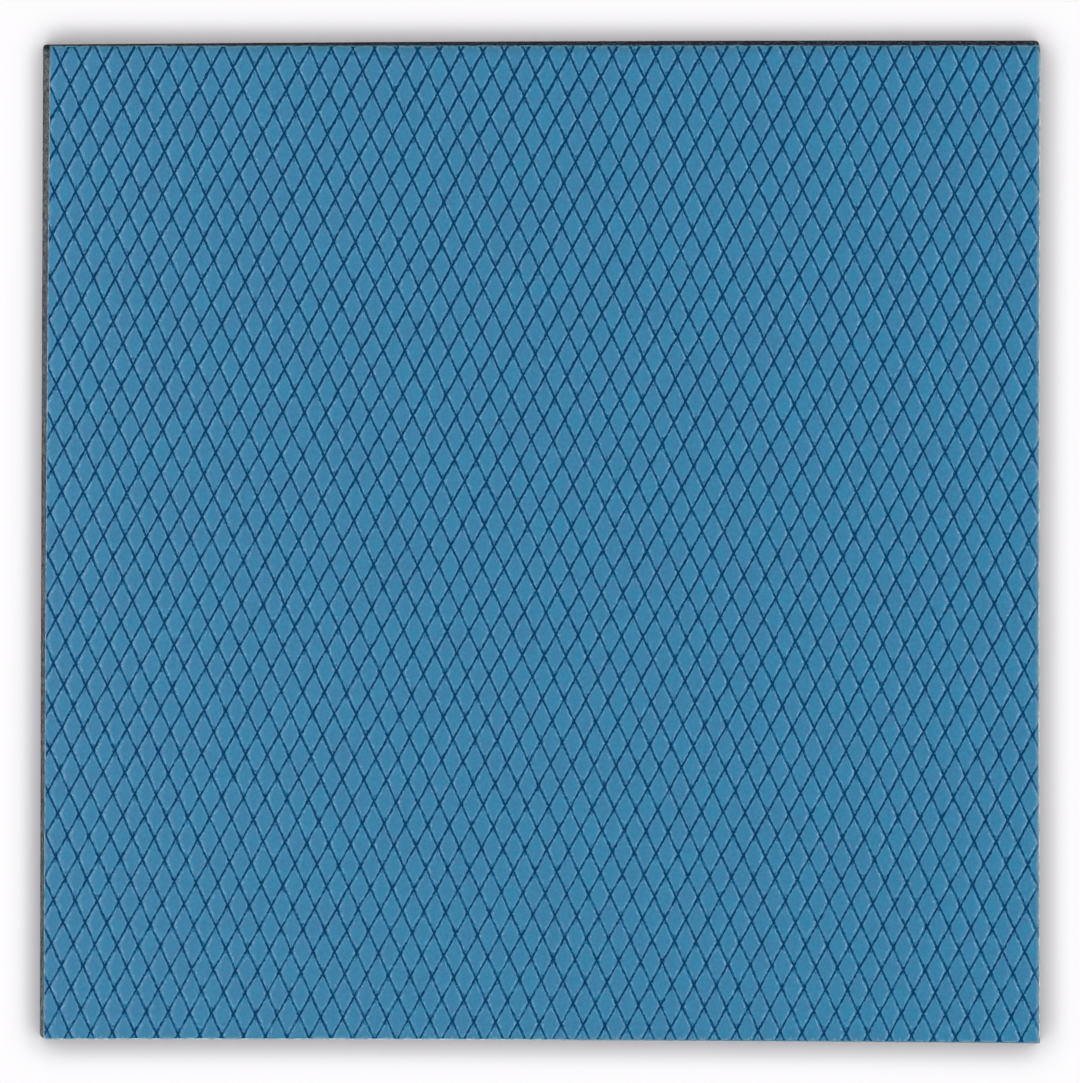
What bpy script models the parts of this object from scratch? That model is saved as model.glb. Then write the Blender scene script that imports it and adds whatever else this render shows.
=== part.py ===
# Thermal pad sheet: a square blank of filled silicone with a protective film on its top face.
# Metres, +Z up, back edge towards +Y. The origin is under the middle of the sheet, on its underside.
import bmesh
import bpy
from mathutils import Vector

# Blank of thermal pad, measured on its underside
SHEET_WIDTH = 0.1
SHEET_DEPTH = 0.1
PAD_THICKNESS = 0.002
# Corners in the order left front, right front, right back, left back
PAD_CORNER_RADII = (0.0005, 0.00015, 0.00045, 0.0004)

# The cut isn't quite square: the front and the right edge are a little longer
FRONT_EXTRA_WIDTH = 0.00026
RIGHT_EXTRA_DEPTH = 0.0008
BACK_EDGE_SHIFT = 0.00019

# How far the middle of each cut edge bulges outwards, or inwards where it is negative
LEFT_BOW = 0.00003
BACK_BOW = 0.00013
RIGHT_BOW = -0.00008
FRONT_BOW = -0.00014

# The soft pad was cut with a leaning blade: its left and back walls slope in towards the top
LEFT_LEAN_AT_BACK = 0.0007
LEFT_LEAN_AT_FRONT = 0.0004
BACK_LEAN_AT_LEFT = 0.00016
BACK_LEAN_AT_RIGHT = 0.0005
LEFT_BOW_AT_TOP = 0.00008
BACK_BOW_AT_TOP = 0.00001

# Protective film, over its embossing, which covers the pad's top face
FILM_THICKNESS = 0.00016
FILM_GAP = 0.00004
FILM_OVERHANG = 0.00012
FILM_CORNER_RADII = (0.0005, 0.00015, 0.0005, 0.0003)

# Resolution of the outlines
EDGE_STEPS = 10
CORNER_STEPS = 5


def make_material(name, color, roughness, metallic):
    material = bpy.data.materials.new(name)
    material.use_nodes = True
    shader = material.node_tree.nodes["Principled BSDF"]
    shader.inputs["Base Color"].default_value = (*color, 1)
    shader.inputs["Roughness"].default_value = roughness
    shader.inputs["Metallic"].default_value = metallic
    return material


def base_corners():
    """The pad's corners on its underside, before rounding: left front, right front, right back, left back."""
    half_front = (SHEET_WIDTH + FRONT_EXTRA_WIDTH / 2) / 2
    half_back = (SHEET_WIDTH - FRONT_EXTRA_WIDTH / 2) / 2
    half_left = (SHEET_DEPTH - RIGHT_EXTRA_DEPTH / 2) / 2
    half_right = (SHEET_DEPTH + RIGHT_EXTRA_DEPTH / 2) / 2
    shift = BACK_EDGE_SHIFT / 2
    return [
        Vector((-half_front - shift, -half_left)),
        Vector((half_front - shift, -half_right)),
        Vector((half_back + shift, half_right)),
        Vector((-half_back + shift, half_left)),
    ]


def top_corners():
    """The same corners on the pad's top face, moved in along the walls that lean."""
    left_front, right_front, right_back, left_back = base_corners()
    return [
        left_front + Vector((LEFT_LEAN_AT_FRONT, 0)),
        right_front,
        right_back + Vector((0, -BACK_LEAN_AT_RIGHT)),
        left_back + Vector((LEFT_LEAN_AT_BACK, -BACK_LEAN_AT_LEFT)),
    ]


def film_corners():
    """The top face's corners, moved out where the film overhangs at the front and the right."""
    left_front, right_front, right_back, left_back = top_corners()
    return [
        left_front + Vector((0, -FILM_OVERHANG)),
        right_front + Vector((FILM_OVERHANG, -FILM_OVERHANG)),
        right_back + Vector((FILM_OVERHANG, 0)),
        left_back,
    ]


def bowed_edge(start, end, bow, start_radius, end_radius):
    """Points from one rounded corner to the next, on a shallow curve that is bow deep in its middle."""
    along = (end - start).normalized()
    outward = Vector((along.y, -along.x))
    first = start + along * start_radius
    last = end - along * end_radius
    points = []
    for step in range(EDGE_STEPS + 1):
        t = step / EDGE_STEPS
        points.append(first.lerp(last, t) + outward * bow * 4 * t * (1 - t))
    return points


def rounded_corner(before, corner, after):
    """Points between two edges, on the curve that has the corner as its control point."""
    points = []
    for step in range(1, CORNER_STEPS):
        t = step / CORNER_STEPS
        points.append(before.lerp(corner, t).lerp(corner.lerp(after, t), t))
    return points


def outline(corners, bows, radii):
    edges = []
    for index, bow in enumerate(bows):
        following = (index + 1) % 4
        edges.append(bowed_edge(corners[index], corners[following], bow, radii[index], radii[following]))
    points = []
    for index, edge in enumerate(edges):
        following = edges[(index + 1) % 4]
        points += edge
        points += rounded_corner(edge[-1], corners[(index + 1) % 4], following[0])
    return points


def make_plate(name, lower, upper, bottom, thickness, material):
    """A flat plate that changes from its lower outline to its upper one, standing on the height bottom."""
    mesh = bpy.data.meshes.new(name)
    shape = bmesh.new()
    low = [shape.verts.new((point.x, point.y, 0)) for point in lower]
    high = [shape.verts.new((point.x, point.y, thickness)) for point in upper]
    shape.faces.new(reversed(low))
    shape.faces.new(high)
    for index in range(len(low)):
        following = (index + 1) % len(low)
        shape.faces.new((low[index], low[following], high[following], high[index]))
    bmesh.ops.recalc_face_normals(shape, faces=shape.faces[:])
    shape.to_mesh(mesh)
    shape.free()
    mesh.materials.append(material)
    plate = bpy.data.objects.new(name, mesh)
    plate.location.z = bottom
    bpy.context.scene.collection.objects.link(plate)
    return plate


def make_pad():
    base = outline(base_corners(), (FRONT_BOW, RIGHT_BOW, BACK_BOW, LEFT_BOW), PAD_CORNER_RADII)
    top_bows = (FRONT_BOW, RIGHT_BOW, BACK_BOW_AT_TOP, LEFT_BOW_AT_TOP)
    top = outline(top_corners(), top_bows, PAD_CORNER_RADII)
    silicone = make_material("filled silicone", (0.105, 0.11, 0.12), 0.85, 0)
    return make_plate("thermal_pad", base, top, 0, PAD_THICKNESS, silicone)


def make_film():
    bows = (FRONT_BOW, RIGHT_BOW, BACK_BOW_AT_TOP, LEFT_BOW_AT_TOP)
    sheet = outline(film_corners(), bows, FILM_CORNER_RADII)
    plastic = make_material("blue film", (0.045, 0.21, 0.365), 0.4, 0)
    return make_plate("protective_film", sheet, sheet, PAD_THICKNESS + FILM_GAP, FILM_THICKNESS, plastic)


for leftover in list(bpy.data.objects):
    bpy.data.objects.remove(leftover, do_unlink=True)
make_pad()
make_film()
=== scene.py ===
# Dresses a square thermal pad: an embossed blue film over a grainy dark silicone sheet.
import math

import bmesh
import bpy
import numpy as np
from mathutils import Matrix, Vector, noise


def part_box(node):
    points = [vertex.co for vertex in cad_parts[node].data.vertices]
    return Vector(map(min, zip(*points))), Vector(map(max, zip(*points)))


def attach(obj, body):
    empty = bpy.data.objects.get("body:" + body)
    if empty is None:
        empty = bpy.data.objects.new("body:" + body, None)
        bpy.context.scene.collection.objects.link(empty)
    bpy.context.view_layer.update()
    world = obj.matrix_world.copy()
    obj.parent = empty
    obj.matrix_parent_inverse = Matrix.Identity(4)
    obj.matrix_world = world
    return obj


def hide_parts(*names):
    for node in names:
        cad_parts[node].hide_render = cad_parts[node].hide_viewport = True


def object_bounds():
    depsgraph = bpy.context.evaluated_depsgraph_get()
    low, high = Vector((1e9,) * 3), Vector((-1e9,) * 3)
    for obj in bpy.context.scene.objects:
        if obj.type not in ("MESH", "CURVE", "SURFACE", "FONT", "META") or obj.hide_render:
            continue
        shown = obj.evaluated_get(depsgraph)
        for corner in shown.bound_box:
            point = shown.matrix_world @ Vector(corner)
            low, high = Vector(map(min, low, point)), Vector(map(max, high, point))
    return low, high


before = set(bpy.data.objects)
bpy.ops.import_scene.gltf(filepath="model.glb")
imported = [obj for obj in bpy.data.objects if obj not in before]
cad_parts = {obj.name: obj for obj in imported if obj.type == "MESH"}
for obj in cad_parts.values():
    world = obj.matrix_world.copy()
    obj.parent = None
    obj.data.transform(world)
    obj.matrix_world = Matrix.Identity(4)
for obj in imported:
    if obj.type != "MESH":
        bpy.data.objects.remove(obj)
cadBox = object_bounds()
print("frame loaded, box", cadBox)


class Wire:
    # One socket of a tree. Sums, differences, products and shares of wires add Math nodes.
    def __init__(self, net, socket):
        self.net = net
        self.socket = socket

    def math(self, operation, *others):
        values = dict(enumerate((self, *others)))
        return self.net.node("ShaderNodeMath", {"operation": operation}, values)

    def __add__(self, other):
        return self.math("ADD", other)

    def __sub__(self, other):
        return self.math("SUBTRACT", other)

    def __mul__(self, other):
        return self.math("MULTIPLY", other)

    def __truediv__(self, other):
        return self.math("DIVIDE", other)

    def __rsub__(self, other):
        return self.net.node("ShaderNodeMath", {"operation": "SUBTRACT"}, {0: other, 1: self})

    def __rtruediv__(self, other):
        return self.net.node("ShaderNodeMath", {"operation": "DIVIDE"}, {0: other, 1: self})

    __radd__ = __add__
    __rmul__ = __mul__


class Net:
    # A node tree being built: node() adds any node from its type, its settings and its sockets' values
    def __init__(self, tree):
        self.tree = tree

    def node(self, kind, settings=None, values=None, out=0):
        made = self.tree.nodes.new(kind)
        for name, setting in (settings or {}).items():
            if name == "items":                              # how many choices an Index Switch has
                while len(made.index_switch_items) < setting:
                    made.index_switch_items.new()
            else:
                setattr(made, name, setting)
        for key, value in (values or {}).items():
            if isinstance(value, Wire):
                self.tree.links.new(value.socket, made.inputs[key])
            else:
                made.inputs[key].default_value = value
        return Wire(self, made.outputs[out]) if made.outputs else None

    def also(self, wire, out):
        # Another output of the node that the wire comes from
        return Wire(self, wire.socket.node.outputs[out])

    def split(self, vector):
        parts = self.node("ShaderNodeSeparateXYZ", None, {0: vector})
        return parts, self.also(parts, 1), self.also(parts, 2)

    def join(self, x, y, z):
        return self.node("ShaderNodeCombineXYZ", None, {0: x, 1: y, 2: z})

    def ramp(self, value, low, high, start=0.0, end=1.0):
        # Goes smoothly from start to end while the value goes from low to high
        settings = {"interpolation_type": "SMOOTHSTEP"}
        return self.node("ShaderNodeMapRange", settings, {0: value, 1: low, 2: high, 3: start, 4: end})

    def blend(self, factor, first, second):
        return self.node("ShaderNodeMix", {"data_type": "RGBA"}, {0: factor, 6: first, 7: second}, 2)

    def scaled(self, color, by):
        return self.node("ShaderNodeVectorMath", {"operation": "SCALE"}, {0: color, 3: by})

    def attribute(self, name):
        return self.node("ShaderNodeAttribute", {"attribute_name": name}, None, "Fac")

    def objectPlace(self):
        return self.node("ShaderNodeTexCoord", None, None, "Object")

    def grain(self, place, size, detail, roughness, lift):
        # Noise with features of the given size in metres, about 0.5 in the middle
        spot = self.node("ShaderNodeVectorMath", {"operation": "ADD"}, {0: place, 1: (lift, lift, lift)})
        values = {"Vector": spot, "Scale": 1 / size, "Detail": detail, "Roughness": roughness}
        return self.node("ShaderNodeTexNoise", None, values)


def emptyNet(owner):
    # The cleared node tree of a material or a world
    owner.use_nodes = True
    owner.node_tree.nodes.clear()
    return Net(owner.node_tree)


def added(name, data):
    thing = bpy.data.objects.new(name, data)
    bpy.context.scene.collection.objects.link(thing)
    return thing


def addPiece(name, mesh, node):
    piece = added(name, mesh)
    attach(piece, "root")
    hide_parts(node)
    mesh.calc_loop_triangles()
    print(name + ":", len(mesh.loop_triangles), "triangles")


# The sheet as it lies

def rimOf(node, atTop):
    # The node's outline on its top or bottom face, as points sorted round the sheet's middle
    lowest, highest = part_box(node)
    height = highest[2] if atTop else lowest[2]
    rim = {(round(v.co.x, 7), round(v.co.y, 7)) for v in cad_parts[node].data.vertices
           if abs(v.co.z - height) < 1e-5}
    return np.array(sorted(rim, key=lambda point: math.atan2(point[1], point[0])))


class BowedSides:
    # The four shallow curved sides of an outline. Straightened, the outline is the square from 0 to 1.
    def __init__(self, rim, corner):
        low = rim.min(axis=0) + corner
        high = rim.max(axis=0) - corner
        middle = (rim > low) & (rim < high)
        self.left = np.polyfit(*rim[middle[:, 1] & (rim[:, 0] < 0)].T[::-1], 2)
        self.right = np.polyfit(*rim[middle[:, 1] & (rim[:, 0] > 0)].T[::-1], 2)
        self.front = np.polyfit(*rim[middle[:, 0] & (rim[:, 1] < 0)].T, 2)
        self.back = np.polyfit(*rim[middle[:, 0] & (rim[:, 1] > 0)].T, 2)

    def straighten(self, x, y):
        left, right = np.polyval(self.left, y), np.polyval(self.right, y)
        front, back = np.polyval(self.front, x), np.polyval(self.back, x)
        return (x - left) / (right - left), (y - front) / (back - front)

    def bend(self, across, up):
        x, y = across - 0.5, up - 0.5
        for _ in range(6):                                   # each round comes nearer to the exact place
            left, right = np.polyval(self.left, y), np.polyval(self.right, y)
            x = left + across * (right - left)
            front, back = np.polyval(self.front, x), np.polyval(self.back, x)
            y = front + up * (back - front)
        return x, y


# Blue film with its embossed diamonds
# A grain is its size in metres, its detail, its roughness and a lift that tells it from the others.
# A pair is the stretch of a value over which something comes, goes or changes.

film = {
    "pattern": {                     # each of these is an input of the node tree
        "pitchAcross": 0.0021800,    # from one diamond to the next along a row
        "pitchDown": 0.0043027,      # and from one row to the next, towards the front
        "rowFall": 0.0000620,        # each diamond of a row lies this much nearer the front
        "columnLean": 0.0001824,     # and each row starts this much further left
        "acrossGrowth": 1.69e-7,     # the film was drawn as it was laid: six terms that widen and bend rows
        "columnFan": 9.64e-7,
        "leanGrowth": 2.39e-7,
        "rowFan": 6.37e-7,
        "downGrowth": 1.112e-6,
        "endDraw": 9.39e-8,
        "middleX": -0.0012267,       # where the pattern's middle lies on the sheet
        "middleY": 0.0015278,
        "rowsOut": 14,               # how far the pattern is laid out from there, before trimming
        "columnsOut": 26,
        "grooveSide": 0.1,           # four rings of points inside a diamond's edge, in shares of its pitch
        "shoulder": 0.16,
        "shoulderTop": 0.22,
        "flatStart": 0.27,
        "grooveFloor": -0.000083,    # heights from the flat: of the edge, of three of the rings
        "grooveSideDrop": -0.000056,
        "shoulderDrop": -0.00003,
        "shoulderTopDrop": -0.000004,
        "dome": 0.000002,            # and of the middle
        "waver": 0.0001,             # how far grooves stray at most
        "waverSize": 0.0009,
        "waverFull": 0.2,            # they stray fully as far in as this,
        "waverNone": 0.4,            # and from here the diamond stays in place
        "mergeWithin": 0.00001,
        "seed": 7,
    },
    "rim": {
        "chamfer": 0.00009,
        "edgeHeight": 0.00006,
        "cornerReach": 0.001,        # an outline's points this close to a side's end are left to its corner
        "cutReach": 0.006,           # and only faces this close to a cut are handed to it
        "tolerance": 1e-7,
    },
    "tip": (0.4, 0.5),               # along a diamond's half width or height, from its middle
    "ragged": 0.13,                  # how much edges of lines and lips stray, in shares of the pitch
    "raggedGrain": (0.00035, 2.0, 0.6, 0.0),
    "lines": {                       # the pressed grooves, with widths in shares of the pitch
        "width": 0.058,
        "web": 0.07,                 # more width in a diamond's sharp corners
        "bluntWeb": 0.03,            # and in its blunt ones
        "risingShadeWiden": 0.34,         # lines that rise to the right widen towards the back, for each metre: painted shade
        "webWiden": 0.4,             # and so do the webs
        "softness": 0.016,
        "webSoftness": 0.06,
        "slope": (0.0, 0.09),        # from a groove's floor to its side
        "fallingShare": 0.5,
        "afterCrossing": (-0.46, -0.38),     # falling lines turn pale here along a diamond's side
        "beforeNext": (-0.3, 0.0),   # and dark again here
        "crossingShare": 0.65,
        "wornGrain": (0.00055, 2.0, 0.6, 1.1),
        "wornFrom": (0.5, 0.68),
        "wornShare": 0.65,
        "wornFalling": 0.02,
        "paintedLightAtLeft": 1.2,           # how much paler rising lines are painted at the left, for each metre, as painted light
        "paintedLightAtFront": 1.2,          # and all lines at the front, also as painted light
        "clearOfTips": (0.05, 0.4),
        "rightEnd": (0.0493, 0.04995),
        "shareAtEnd": 0.55,          # what is left of the lines where the film ends at the right
        "floor": (0, 0.032, 0.09, 1),
        "side": (0.0006, 0.05, 0.132, 1),
        "falling": (0.002, 0.06, 0.148, 1),
        "pale": (0.008, 0.122, 0.25, 1),
        "roughness": 0.6,
        "ior": 1.4,
        "specular": 0.05,
    },
    "diamonds": {                    # the raised parts
        "blotchGrain": (0.0009, 3.0, 0.62, 0.4),
        "cloudGrain": (0.0035, 1.0, 0.5, 0.2),
        "cloudShare": 0.5,
        "hazeGrain": (0.00032, 2.0, 0.6, 0.9),
        "noiseSpan": (0.25, 0.75),
        "dimRed": (0.0305, 0.1575, 0.284, 1),
        "dimGreen": (0.0215, 0.1765, 0.303, 1),
        "paleRed": (0.0435, 0.1765, 0.3215, 1),
        "paleGreen": (0.0345, 0.1955, 0.3405, 1),
        # a whitish painted sheen, stronger towards the left
        "paleSheen": (0.17, 0.29, 0.44, 1),
        "sheenShare": 0.06,
        "sheenLean": -10.0,          # more at the left, for each metre: a painted sheen
        "patchGrain": (0.0004, 2.0, 0.6, 0.6),
        "patch": (0.45, 0.65),
        "wanderGrain": (0.0012, 1.0, 0.5, 0.1),
        "wander": 0.16,              # how much a lip wanders, in shares of the pitch
        "lipStart": (0.095, 0.12),
        "lipEnd": (0.125, 0.165),
        # the lips' pale colour is a painted highlight on their slopes
        "lip": (0.115, 0.295, 0.46, 1),
        "lipHighlightShare": 0.7,
        "lipHighlightFacing": 85.0,           # how much stronger the painted highlight is on lips that face the nearer side light
        # flecks at the blunt tips: painted highlights, like the lips
        "fleckReach": (0.22, 0.1),
        "fleck": (0.15, 0.305, 0.48, 1),
        "tipHighlightShare": 0.6,
        "nearRight": (0.0005, 0.0001),       # distances from the film's edges
        "nearFront": (0.0004, 0.0001),
        "nearBack": (0.0012, 0.0002),
        "greyerNearRight": (0.105, 0.215, 0.285, 1),
        "darkFront": (0.045, 0.155, 0.235, 1),
        "darkFrontShare": 0.8,
        "darkBack": (0.03, 0.13, 0.21, 1),
        "darkBackShare": 0.5,
        "toneGrain": (0.009, 2.0, 0.5, 0.3),
        "toneChange": 0.04,
        "cellChange": 0.008,         # how much one diamond's tone differs from the next
        "toneLow": 0.968,
        "peelGrain": (0.00028, 2.0, 0.5, 0.8),
        "peelDepth": 0.00001,
        "peelOnLips": 2.5,
        "roughness": 0.25,
        "ior": 1.46,
    },
    "cutEdge": {
        "fleckGrain": (0.0006, 3.0, 0.6, 0.0),
        "fleck": (0.4, 0.62),
        # the pale light colour is partly the edge's own and partly a painted highlight where it catches light
        "dark": (0.15, 0.3, 0.41, 1),
        "light": (0.4, 0.55, 0.64, 1),
        "left": (-0.0485, -0.049),
        "darkLeft": (0.07, 0.16, 0.23, 1),
        "lightLeft": (0.24, 0.36, 0.44, 1),
        "front": (-0.0498, -0.05),
        "rightHalf": (-0.004, 0.006),
        "frontRight": (0.05, 0.16, 0.24, 1),
        # at the back the edge is painted darker as shade
        "back": (0.0488, 0.0492),
        "darkBack": (0.01, 0.06, 0.1, 1),
        "lightBack": (0.07, 0.21, 0.29, 1),
        "roughness": 0.4,
        "ior": 1.46,
    },
}


def oneDiamond(net, size):
    # A diamond in pitches: six rings of eight points, the last ring being its middle
    ringCount, stepCount = 6, 8
    rounding = 1e-4                                          # keeps a whole number from falling just short
    sheet = net.node("GeometryNodeMeshGrid", None, {
        "Size X": 1.0, "Size Y": 1.0, "Vertices X": stepCount + 1, "Vertices Y": ringCount})
    index = net.node("GeometryNodeInputIndex")
    ring = index.math("FLOORED_MODULO", ringCount)
    step = (index / ringCount + rounding).math("FLOOR")
    isMiddle = step.math("FLOORED_MODULO", 2)                # the middle of a side, not a corner
    side = (step / 2 + rounding).math("FLOOR")

    def ofRing(*choices):
        values = {0: ring, **{number + 1: choice for number, choice in enumerate(choices)}}
        return net.node("GeometryNodeIndexSwitch", {"data_type": "FLOAT", "items": len(choices)}, values)

    def wave(turn):
        # A zigzag between -0.5 and 0.5, which repeats after four steps of the turn
        return 0.5 - ((turn + 1).math("FLOORED_MODULO", 4) - 2).math("ABSOLUTE") * 0.5

    inset = ofRing(0.0, size["grooveSide"], size["shoulder"], size["shoulderTop"], size["flatStart"], 0.5)
    height = ofRing(size["grooveFloor"], size["grooveSideDrop"], size["shoulderDrop"],
                    size["shoulderTopDrop"], 0.0, size["dome"])
    reach = 1 - inset * 2
    roundAcross, roundDown = wave(step / 2), wave(step / 2 + 3)
    spot = net.join(roundAcross * reach, roundDown * reach, height)
    shaped = net.node("GeometryNodeSetPosition", None, {"Geometry": sheet, "Position": spot})

    # For the material: slash is 1 on sides that rise to the right and -1 on those that fall, and the last
    # two run from -0.5 to 0.5, from a diamond's left to its right corner and from its back to its front one
    slash = (side.math("FLOORED_MODULO", 2) * 2 - 1) * isMiddle
    kept = {"inset": inset, "slash": slash, "roundAcross": roundAcross, "roundDown": roundDown}
    for name, value in kept.items():
        shaped = keep(net, shaped, name, value)
    return shaped


def keep(net, geometry, name, value, domain="POINT"):
    values = {"Geometry": geometry, "Name": name, "Value": value}
    return net.node("GeometryNodeStoreNamedAttribute", {"data_type": "FLOAT", "domain": domain}, values)


def rowsOf(net, size, shiftAcross, shiftDown):
    grid = net.node("GeometryNodeMeshGrid", None, {
        "Size X": size["columnsOut"] * 2, "Size Y": size["rowsOut"] * 2,
        "Vertices X": size["columnsOut"] * 2 + 1, "Vertices Y": size["rowsOut"] * 2 + 1})
    shift = (shiftAcross, shiftDown, 0.0)
    return net.node("GeometryNodeTransform", None, {"Geometry": grid, "Translation": shift})


def filmTree(material):
    pattern = film["pattern"]
    tree = bpy.data.node_groups.new("embossed diamonds", "GeometryNodeTree")
    tree.is_modifier = True
    tree.interface.new_socket("Geometry", in_out="INPUT", socket_type="NodeSocketGeometry")
    for name in pattern:
        kind = "NodeSocketInt" if isinstance(pattern[name], int) else "NodeSocketFloat"
        tree.interface.new_socket(name, in_out="INPUT", socket_type=kind)
    tree.interface.new_socket("Geometry", in_out="OUTPUT", socket_type="NodeSocketGeometry")
    net = Net(tree)
    source = net.node("NodeGroupInput")
    size = {name: net.also(source, name) for name in pattern}
    diamond = oneDiamond(net, size)

    # Diamonds side by side in rows, and again half a pitch over and down
    both = net.node("GeometryNodeJoinGeometry", None, {0: rowsOf(net, size, 0.5, 0.0)})
    tree.links.new(rowsOf(net, size, 0.0, 0.5).socket, both.socket.node.inputs[0])
    placed = net.node("GeometryNodeInstanceOnPoints", None, {"Points": both, "Instance": diamond})
    toneRange = {2: -1.0, 3: 1.0, "Seed": size["seed"]}
    tone = net.node("FunctionNodeRandomValue", {"data_type": "FLOAT"}, toneRange, 1)
    placed = keep(net, placed, "cellTone", tone, "INSTANCE")
    laid = net.node("GeometryNodeRealizeInstances", None, {"Geometry": placed})

    # From pitches to metres on the sheet, drawn out a little towards the front and the right
    a, d, z = net.split(net.node("GeometryNodeInputPosition"))
    x = (size["middleX"] + a * size["pitchAcross"] - d * size["columnLean"] + a * a * size["acrossGrowth"]
         + a * d * size["columnFan"] - d * d * size["leanGrowth"])
    y = (size["middleY"] - a * size["rowFall"] - d * size["pitchDown"] - a * d * size["rowFan"]
         - d * d * size["downGrowth"] - d * d * d * size["endDraw"])
    laid = net.node("GeometryNodeSetPosition", None, {"Geometry": laid, "Position": net.join(x, y, z)})

    # The grooves stray a little, and the raised parts stay
    stray = net.node("ShaderNodeTexNoise", None, {
        "Vector": net.node("GeometryNodeInputPosition"), "Scale": 1 / size["waverSize"], "Detail": 1.0}, 1)
    strayX, strayY, _ = net.split(stray)
    inset = net.node("GeometryNodeInputNamedAttribute", {"data_type": "FLOAT"}, {"Name": "inset"})
    nearGroove = 1 - net.ramp(inset, size["waverFull"], size["waverNone"])
    amount = nearGroove * size["waver"] * 2
    offset = net.join((strayX - 0.5) * amount, (strayY - 0.5) * amount, 0.0)
    laid = net.node("GeometryNodeSetPosition", None, {"Geometry": laid, "Offset": offset})
    laid = net.node("GeometryNodeMergeByDistance", None, {"Geometry": laid, "Distance": size["mergeWithin"]})
    laid = net.node("GeometryNodeSetShadeSmooth", None, {"Geometry": laid})
    laid = net.node("GeometryNodeRealizeInstances", None, {"Geometry": laid})
    laid = net.node("GeometryNodeSetMaterial", None, {"Geometry": laid, "Material": material})
    net.node("NodeGroupOutput", None, {0: laid})
    return tree


def tipOf(net, way):
    # 1 at a diamond's two tips along the way
    return net.ramp(net.attribute(way).math("ABSOLUTE"), *film["tip"])


def lineLook(net, place, inset):
    # Where the film is pressed onto the dark pad. Gives the lines' shader, and how much of it shows.
    look = film["lines"]
    x, y, _ = net.split(place)
    slash, roundAcross, roundDown = [net.attribute(name) for name in ("slash", "roundAcross", "roundDown")]
    sharp, blunt = tipOf(net, "roundDown"), tipOf(net, "roundAcross")
    rising, falling = slash.math("MAXIMUM", 0.0), (slash * -1).math("MAXIMUM", 0.0)
    # Rising lines are drawn wider towards the back as painted shade
    widen = rising * look["risingShadeWiden"] + sharp * look["webWiden"]
    width = widen * y + sharp * look["web"] + blunt * look["bluntWeb"] + look["width"]
    softness = sharp * look["webSoftness"] + look["softness"]
    pressed = 1 - net.ramp((inset - width) / softness, -1.0, 1.0)
    shown = pressed * net.ramp(x, *look["rightEnd"], 1.0, look["shareAtEnd"])
    color = net.blend(net.ramp(inset, *look["slope"]), look["floor"], look["side"])
    color = net.blend(falling * look["fallingShare"], color, look["falling"])

    # Falling lines are paler just past a crossing, and all of them are worn paler in places; rising lines are
    # painted paler at the left, and all lines at the front, as painted light
    along = roundAcross + roundDown
    past = net.ramp(along, *look["afterCrossing"]) * net.ramp(along, *look["beforeNext"], 1.0, 0.0) * falling
    wearAndPaintedLight = net.grain(place, *look["wornGrain"]) + falling * look["wornFalling"]
    wearAndPaintedLight = wearAndPaintedLight - rising * x * look["paintedLightAtLeft"] - y * look["paintedLightAtFront"]
    wearAndPaintedLight = net.ramp(wearAndPaintedLight, *look["wornFrom"]) * net.ramp(rising + falling, *look["clearOfTips"])
    color = net.blend(past * look["crossingShare"] + wearAndPaintedLight * look["wornShare"], color, look["pale"])
    shader = net.node("ShaderNodeBsdfPrincipled", None, {
        "Base Color": color, "Roughness": look["roughness"], "IOR": look["ior"],
        "Specular IOR Level": look["specular"]})
    return shader, shown


def diamondLook(net, place, inset):
    # The raised diamonds: mottled and hazy, with a painted highlight on a thin lip that wanders round each
    look = film["diamonds"]
    x = net.split(place)[0]
    blotch = (net.grain(place, *look["blotchGrain"])
              + (net.grain(place, *look["cloudGrain"]) - 0.5) * look["cloudShare"])
    tint = net.ramp(blotch, *look["noiseSpan"])
    haze = net.ramp(net.grain(place, *look["hazeGrain"]), *look["noiseSpan"])
    dim = net.blend(tint, look["dimRed"], look["dimGreen"])
    pale = net.blend(tint, look["paleRed"], look["paleGreen"])
    color = net.blend(haze, dim, pale)
    # A whitish painted sheen over the film, stronger towards the left
    color = net.blend((x * look["sheenLean"] + 0.5) * look["sheenShare"], color, look["paleSheen"])

    # Painted highlights on the lips, and painted highlight flecks at the blunt tips
    patchy = net.ramp(net.grain(place, *look["patchGrain"]), *look["patch"])
    wander = inset + (net.grain(place, *look["wanderGrain"]) - 0.5) * look["wander"]
    lip = net.ramp(wander, *look["lipStart"]) * net.ramp(wander, *look["lipEnd"], 1.0, 0.0)
    facing = net.attribute("roundAcross") * x * look["lipHighlightFacing"] + 1
    fleck = tipOf(net, "roundAcross") * net.ramp(inset, *look["fleckReach"])
    color = net.blend(lip * patchy * facing * look["lipHighlightShare"], color, look["lip"])
    color = net.blend(fleck * patchy * look["tipHighlightShare"], color, look["fleck"])

    # Towards its edges the film is greyer at the right, and darker at the front and the back
    near = {side: net.ramp(net.attribute("from" + side), *look["near" + side])
            for side in ("Right", "Front", "Back")}
    color = net.blend(near["Back"] * look["darkBackShare"], color, look["darkBack"])
    color = net.blend(near["Front"] * look["darkFrontShare"], color, look["darkFront"])
    color = net.blend(near["Right"], color, look["greyerNearRight"])
    broad = net.grain(place, *look["toneGrain"]) * look["toneChange"]
    color = net.scaled(color, net.attribute("cellTone") * look["cellChange"] + broad + look["toneLow"])
    peel = net.grain(place, *look["peelGrain"]) * (lip * look["peelOnLips"] + 1)
    relief = net.node("ShaderNodeBump", None, {
        "Strength": 1.0, "Distance": look["peelDepth"], "Height": peel})
    return net.node("ShaderNodeBsdfPrincipled", None, {
        "Base Color": color, "Roughness": look["roughness"], "IOR": look["ior"], "Normal": relief})


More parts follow.
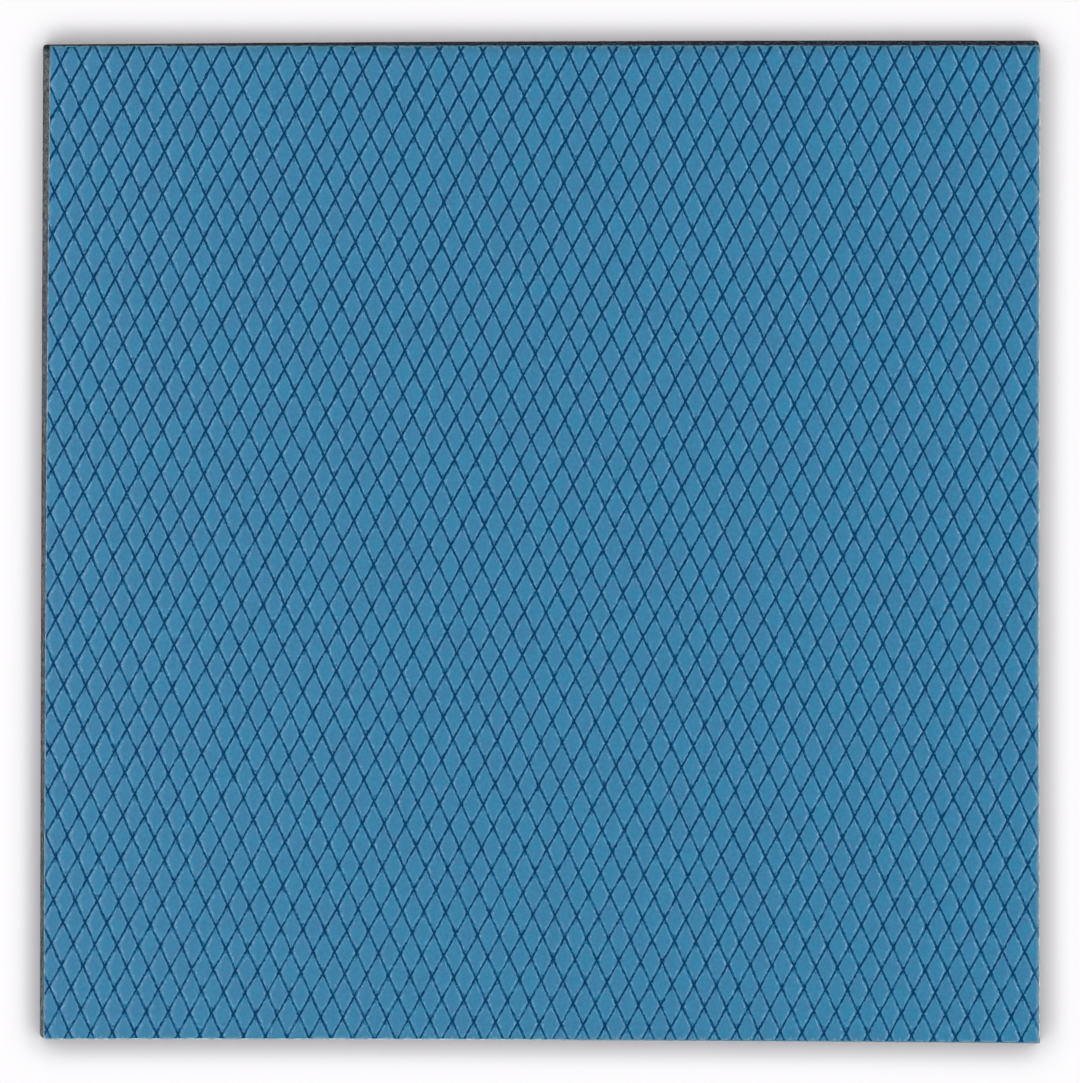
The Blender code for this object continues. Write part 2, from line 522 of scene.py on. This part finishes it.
def faceMaterial():
    blue = bpy.data.materials.new("blueFilm")
    net = emptyNet(blue)
    place = net.objectPlace()
    ragged = net.grain(place, *film["raggedGrain"]) - 0.5
    inset = net.attribute("inset") + ragged * film["ragged"]
    dull, shown = lineLook(net, place, inset)
    both = net.node("ShaderNodeMixShader", None, {0: shown, 1: diamondLook(net, place, inset), 2: dull})
    net.node("ShaderNodeOutputMaterial", None, {"Surface": both})
    return blue


def edgeMaterial():
    # The film's cut edge: flecked pale blue grey, partly its own colour and partly a painted highlight where
    # the edge catches light, and darker at the left, the front's right half and, as painted shade, the back
    look = film["cutEdge"]
    edge = bpy.data.materials.new("filmEdge")
    net = emptyNet(edge)
    place = net.objectPlace()
    x, y, _ = net.split(place)
    fleck = net.ramp(net.grain(place, *look["fleckGrain"]), *look["fleck"])
    atLeft = net.ramp(x, *look["left"])
    atFrontRight = net.ramp(y, *look["front"]) * net.ramp(x, *look["rightHalf"])
    atBack = net.ramp(y, *look["back"])
    color = net.blend(fleck, look["dark"], look["light"])
    color = net.blend(atLeft, color, net.blend(fleck, look["darkLeft"], look["lightLeft"]))
    color = net.blend(atFrontRight, color, look["frontRight"])
    # Painted shade along the back
    color = net.blend(atBack, color, net.blend(fleck, look["darkBack"], look["lightBack"]))
    shine = net.node("ShaderNodeBsdfPrincipled", None, {
        "Base Color": color, "Roughness": look["roughness"], "IOR": look["ior"]})
    net.node("ShaderNodeOutputMaterial", None, {"Surface": shine})
    return edge


def laidOut(tree):
    # The pattern as a plain mesh
    base = added("filmPattern", bpy.data.meshes.new("filmPattern"))
    emboss = base.modifiers.new("emboss", "NODES")
    emboss.node_group = tree
    for item in tree.interface.items_tree:
        if item.in_out == "INPUT" and item.name in film["pattern"]:
            emboss[item.identifier] = film["pattern"][item.name]
    bpy.context.view_layer.update()
    evaluated = base.evaluated_get(bpy.context.evaluated_depsgraph_get())
    mesh = bpy.data.meshes.new_from_object(evaluated)
    bpy.data.objects.remove(base)
    print("diamonds laid out:", len(mesh.polygons), "faces")
    return mesh


def placesOf(mesh):
    points = np.empty(len(mesh.vertices) * 3, np.float32)
    mesh.vertices.foreach_get("co", points)
    return points.reshape(-1, 3).astype(float)


def moved(mesh, change):
    # Puts every point of the mesh at the place that change gives for its x and y
    points = placesOf(mesh)
    points[:, 0], points[:, 1] = change(points[:, 0], points[:, 1])
    mesh.vertices.foreach_set("co", points.astype(np.float32).ravel())
    mesh.update()


def trimmed(mesh, rim, width):
    # Cuts the pattern to the film's outline. The bowed sides are straightened for it, so each is one cut.
    sides = BowedSides(rim, film["rim"]["cornerReach"])
    moved(mesh, lambda x, y: np.array(sides.straighten(x, y)) * width)
    outline = np.array(sides.straighten(*rim.T)).T * width
    cuts = set()
    for start, end in zip(outline, np.roll(outline, -1, axis=0)):
        along = (end - start) / np.hypot(*(end - start))
        outward = (round(along[1], 3), round(-along[0], 3))
        cuts.add((*outward, round(float(start @ outward), 6)))
    shape = bmesh.new()
    shape.from_mesh(mesh)
    for outwardX, outwardY, distance in sorted(cuts):
        outward = Vector((outwardX, outwardY, 0)).normalized()
        distance -= film["rim"]["chamfer"]
        nearest = distance - film["rim"]["cutReach"]
        faces = [f for f in shape.faces if f.calc_center_median().dot(outward) > nearest]
        # Each edge and point once, and in the same order each run
        edges = dict.fromkeys(edge for f in faces for edge in f.edges)
        points = dict.fromkeys(point for f in faces for point in f.verts)
        bmesh.ops.bisect_plane(shape, geom=[*points, *edges, *faces], plane_co=outward * distance,
                               plane_no=outward, clear_outer=True, dist=film["rim"]["tolerance"])
    bmesh.ops.delete(shape, geom=[v for v in shape.verts if not v.link_faces], context="VERTS")
    shape.to_mesh(mesh)
    shape.free()
    moved(mesh, lambda x, y: sides.bend(x / width, y / width))


def closedFilm(mesh, lowest, highest):
    # Lifts the relief to the film's height, and closes it with a chamfered edge and a flat underside
    shape = bmesh.new()
    shape.from_mesh(mesh)
    top = highest[2] - film["pattern"]["dome"]
    for vert in shape.verts:
        vert.co.z += top
    grow = 1 + film["rim"]["chamfer"] / (highest[0] - lowest[0]) * 2
    edgeTop = lowest[2] + film["rim"]["edgeHeight"]

    def skirted(rim, change):
        # Adds faces from the rim's edges to where change puts their points, and gives the new rim
        points = dict.fromkeys(vert for edge in rim for vert in edge.verts)
        drawn = {vert: shape.verts.new(change(vert.co), vert) for vert in points}
        for edge in rim:
            corner = edge.link_loops[0]
            first, second = corner.vert, corner.link_loop_next.vert
            face = shape.faces.new((second, first, drawn[first], drawn[second]))
            face.material_index = 1
        return [shape.edges.get([drawn[vert] for vert in edge.verts]) for edge in rim]

    rim = [edge for edge in shape.edges if edge.is_boundary]
    rim = skirted(rim, lambda spot: Vector((spot.x * grow, spot.y * grow, edgeTop)))
    rim = skirted(rim, lambda spot: Vector((spot.x, spot.y, lowest[2])))
    bottom = bmesh.ops.contextual_create(shape, geom=rim)["faces"]
    for face in bottom:
        face.material_index = 0
        face.smooth = False
    bmesh.ops.triangulate(shape, faces=bottom)
    bmesh.ops.recalc_face_normals(shape, faces=shape.faces[:])
    shape.to_mesh(mesh)
    shape.free()


def keepDistances(mesh, rim):
    # How far each point lies from three of the film's edges, for its material
    sides = BowedSides(rim, film["rim"]["cornerReach"])
    x, y, _ = placesOf(mesh).T
    distances = {
        "fromRight": np.polyval(sides.right, y) - x,
        "fromFront": y - np.polyval(sides.front, x),
        "fromBack": np.polyval(sides.back, x) - y,
    }
    for name, values in distances.items():
        mesh.attributes.new(name, "FLOAT", "POINT").data.foreach_set("value", values.astype(np.float32))


def makeFilm():
    lowest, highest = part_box("protective_film")
    blue, edge = faceMaterial(), edgeMaterial()
    mesh = laidOut(filmTree(blue))
    mesh.name = "embossedFilm"
    mesh.materials.clear()
    mesh.materials.append(blue)
    mesh.materials.append(edge)
    rim = rimOf("protective_film", True)
    trimmed(mesh, rim, highest[0] - lowest[0])
    closedFilm(mesh, lowest, highest)
    keepDistances(mesh, rim)
    addPiece("embossedFilm", mesh, "protective_film")


# Silicone pad with its cut walls, with grains and pairs given as for the film

pad = {
    "sidePoints": 450,           # points along each side of the wall
    "rows": 12,
    "edgeRound": 0.00002,
    "reliefDepth": 0.000015,     # the wall's own grain, as real relief
    "reliefSize": 0.00025,
    "dragDepth": 0.00001,        # marks that the blade dragged down the wall
    "dragSize": 0.0005,
    "dragStretch": 0.1,
    "waveDepth": 0.00001,
    "waveSize": 0.004,
    "fineGrain": (0.00016, 3.0, 0.65, 0.0),      # the filler's grains, and the clumps they make
    "coarseGrain": (0.0006, 3.0, 0.65, 0.7),
    "fineShare": 0.6,
    "coarseShare": 0.6,
    "filled": (0.5, 0.7),
    "matrix": (0.03, 0.037, 0.042, 1),
    "filler": (0.17, 0.182, 0.192, 1),
    "dustGrain": (0.00022, 2.0, 0.6, 0.2),
    "dusty": (0.6, 0.7),
    "dust": (0.33, 0.35, 0.36, 1),
    "dustShare": 0.6,
    "back": (0.0489, 0.0494),
    "backLeft": (-0.0502, -0.0494),
    "backLeftShare": 0.6,
    "speckGrain": (0.00035, 2.0, 0.6, 0.5),       # lighter specks on the back wall, which is painted nearly black as shade otherwise
    "speckFrom": (0.52, 0.64),
    "backShade": (0.005, 0.009, 0.013, 1),
    "shadedSpeck": (0.05, 0.085, 0.108, 1),
    "rubbedGrain": (0.005, 2.0, 0.5, 0.9),
    "rubbedChange": 0.9,
    "rubbedLow": 0.57,
    "bumpDepth": 0.00003,
    "bumpStrength": 0.6,
    "roughness": 0.8,
    "ior": 1.42,
    "specular": 0.08,
}


def wallPoints(rim, count):
    # Points at equal distances along each side, from one corner's middle to the next
    corners = [int(np.argmax(rim @ np.array(way))) for way in ((-1, -1), (1, -1), (1, 1), (-1, 1))]
    rim = np.roll(rim, -corners[0], axis=0)
    ends = [corner - corners[0] for corner in corners] + [len(rim)]
    rim = np.vstack([rim, rim[:1]])
    points = []
    for first, last in zip(ends, ends[1:]):
        side = rim[first:last + 1]
        travelled = np.concatenate([[0], np.cumsum(np.hypot(*np.diff(side, axis=0).T))])
        wanted = np.linspace(0, travelled[-1], count, endpoint=False)
        points.append(np.stack([np.interp(wanted, travelled, side[:, axis]) for axis in (0, 1)], 1))
    return np.vstack(points)


def wallRelief(spot):
    # How far the wall stands out at a spot, from its grain, the blade's marks and slow waves: 0 at most
    drawn = Vector((spot.x, spot.y, spot.z * pad["dragStretch"]))
    rough = noise.noise(spot / pad["reliefSize"]) * pad["reliefDepth"]
    drag = noise.noise(drawn / pad["dragSize"]) * pad["dragDepth"]
    wave = noise.noise(spot / pad["waveSize"]) * pad["waveDepth"]
    return min(0.0, rough + drag + wave)


def padMaterial():
    silicone = bpy.data.materials.new("filledSilicone")
    net = emptyNet(silicone)
    place = net.objectPlace()
    x, y, _ = net.split(place)
    fine, coarse = net.grain(place, *pad["fineGrain"]), net.grain(place, *pad["coarseGrain"])
    clump = net.ramp(fine * pad["fineShare"] + coarse * pad["coarseShare"], *pad["filled"])
    color = net.blend(clump, pad["matrix"], pad["filler"])
    dusty = net.ramp(net.grain(place, *pad["dustGrain"]), *pad["dusty"])
    color = net.blend(dusty * pad["dustShare"], color, pad["dust"])
    # The back wall is painted nearly black as shade, with lighter specks of its grain
    shadedSpeck = net.ramp(net.grain(place, *pad["speckGrain"]), *pad["speckFrom"])
    atBack = net.ramp(y, *pad["back"]) * net.ramp(x, *pad["backLeft"], pad["backLeftShare"], 1.0)
    color = net.blend(atBack, color, net.blend(shadedSpeck, pad["backShade"], pad["shadedSpeck"]))
    rubbed = net.grain(place, *pad["rubbedGrain"]) * pad["rubbedChange"] + pad["rubbedLow"]
    bump = net.node("ShaderNodeBump", None, {
        "Strength": pad["bumpStrength"], "Distance": pad["bumpDepth"], "Height": fine})
    dull = net.node("ShaderNodeBsdfPrincipled", None, {
        "Base Color": net.scaled(color, rubbed), "Roughness": pad["roughness"], "IOR": pad["ior"],
        "Specular IOR Level": pad["specular"], "Normal": bump})
    net.node("ShaderNodeOutputMaterial", None, {"Surface": dull})
    return silicone


def makePad():
    lowest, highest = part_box("thermal_pad")
    low, high = [wallPoints(rimOf("thermal_pad", atTop), pad["sidePoints"]) for atTop in (False, True)]
    # Outward at each point, from its neighbours
    along = np.roll(low, -2, axis=0) - np.roll(low, 2, axis=0)
    outward = np.stack([along[:, 1], -along[:, 0]], 1) / np.hypot(*along.T)[:, None]
    thick = highest[2] - lowest[2]
    turn = pad["edgeRound"]
    shape = bmesh.new()
    rings = []
    for row in range(pad["rows"]):
        # Rows lie closest at the wall's two edges, where they also step back round the edge
        share = 0.5 - 0.5 * math.cos(math.pi * row / (pad["rows"] - 1))
        height = lowest[2] + thick * share
        nearest = min(height - lowest[2], highest[2] - height)
        back = turn - math.sqrt(turn ** 2 - max(0.0, turn - nearest) ** 2)
        ring = []
        for lowPoint, highPoint, away in zip(low, high, outward):
            flat = lowPoint * (1 - share) + highPoint * share
            flat = flat - away * (back - wallRelief(Vector((*flat, height))))
            ring.append(shape.verts.new((*flat, height)))
        rings.append(ring)
    for lower, upper in zip(rings, rings[1:]):
        for number in range(len(lower)):
            following = (number + 1) % len(lower)
            shape.faces.new((lower[number], lower[following], upper[following], upper[number]))
    for face in shape.faces:
        face.smooth = True
    bottom = shape.faces.new(reversed(rings[0]))
    top = shape.faces.new(rings[-1])
    bmesh.ops.triangulate(shape, faces=[bottom, top])
    bmesh.ops.recalc_face_normals(shape, faces=shape.faces[:])
    mesh = bpy.data.meshes.new("siliconePad")
    shape.to_mesh(mesh)
    shape.free()
    mesh.materials.append(padMaterial())
    addPiece("siliconePad", mesh, "thermal_pad")


# Floor, light and camera

studio = {
    "floorSize": 4.0,
    "paper": (0.78, 0.7683, 0.78, 1),
    # painted shade on the paper next to the sheet's walls
    "paperShadedInNook": (0.58, 0.5597, 0.5829, 1),
    "nookWidth": 0.0045,
    "nookOpen": (0.4, 1.0),
    "skyStrength": 3.93,         # a ring of light all round, brightest half way up
    "skyLean": 0.25,             # stronger by this share at the right and the front
    "ringRise": (0.4, 0.68),     # sines of the heights where it starts and is full
    "ringFall": (0.68, 0.89),    # and from where it fades to where it ends
    "leftEnergy": 0.11,          # two near lights
    "rightEnergy": 0.065,
    "sideDistance": 0.13,
    "sideHeight": 0.2,
    "sideWidth": 0.06,
    "sideLength": 0.3,
    "cameraHeight": 3.5,
    "viewDepth": 20.0,
    "sensor": 36.0,
    "pixelsPerMetre": 9980.0,
    "imageWidth": 1080,
    "imageHeight": 1083,
    "middlePixel": (540.1, 541.2),   # where the sheet's middle shows in the photograph
}


def makeFloor():
    shape = bmesh.new()
    bmesh.ops.create_grid(shape, x_segments=8, y_segments=8, size=studio["floorSize"] / 2)
    mesh = bpy.data.meshes.new("floor")
    shape.to_mesh(mesh)
    shape.free()
    white = bpy.data.materials.new("paleFloor")
    net = emptyNet(white)
    # Paper is painted a little darker still, and warmer, as shade in the narrow corner under the sheet's
    # walls, where ambient occlusion finds it
    openness = net.node("ShaderNodeAmbientOcclusion", {"samples": 8}, {"Distance": studio["nookWidth"]}, 1)
    paper = net.blend(net.ramp(openness, *studio["nookOpen"]), studio["paperShadedInNook"], studio["paper"])
    matte = net.node("ShaderNodeBsdfDiffuse", None, {"Color": paper})
    net.node("ShaderNodeOutputMaterial", None, {"Surface": matte})
    mesh.materials.append(white)
    floor = added("floor", mesh)


def makeLight():
    world = bpy.data.worlds.new("studio")
    bpy.context.scene.world = world
    net = emptyNet(world)
    right, rear, height = net.split(net.node("ShaderNodeTexCoord", None, None, "Generated"))
    rise = net.ramp(height, *studio["ringRise"])
    fall = net.ramp(height, *studio["ringFall"], 1.0, 0.0)
    seen = net.node("ShaderNodeLightPath", None, None, "Is Camera Ray")      # plain white past the floor
    lean = (right - rear) * studio["skyLean"] + 1
    strength = (rise * fall * lean * studio["skyStrength"]).math("MAXIMUM", seen)
    sky = net.node("ShaderNodeBackground", None, {"Color": (1, 1, 1, 1), "Strength": strength})
    net.node("ShaderNodeOutputWorld", None, {"Surface": sky})
    for side, energy in ((-1, studio["leftEnergy"]), (1, studio["rightEnergy"])):
        lamp = bpy.data.lights.new("sideSoftbox", "AREA")
        lamp.shape = "RECTANGLE"
        lamp.size = studio["sideWidth"]
        lamp.size_y = studio["sideLength"]
        lamp.energy = energy
        softbox = added("sideSoftbox", lamp)
        softbox.location = (side * studio["sideDistance"], 0, studio["sideHeight"])
        softbox.rotation_euler = (0, side * math.atan2(studio["sideDistance"], studio["sideHeight"]), 0)
        softbox.visible_camera = False
        softbox.visible_diffuse = False      # they only give the film its gloss


def makeCamera():
    lens = bpy.data.cameras.new("camera")
    tall = studio["imageHeight"] / studio["pixelsPerMetre"]
    lens.sensor_width = studio["sensor"]     # along the image's long side
    lens.lens = studio["sensor"] * studio["cameraHeight"] / tall
    lens.clip_end = studio["viewDepth"]
    eye = added("camera", lens)
    middleX, middleY = studio["middlePixel"]
    eye.location = ((studio["imageWidth"] / 2 - middleX) / studio["pixelsPerMetre"],
                    (middleY - studio["imageHeight"] / 2) / studio["pixelsPerMetre"],
                    studio["cameraHeight"] + cadBox[1][2])
    bpy.context.scene.camera = eye


makeFilm()
makePad()
makeFloor()
makeLight()
makeCamera()
bpy.context.scene.view_settings.view_transform = "Standard"
print("floor, light and camera placed")
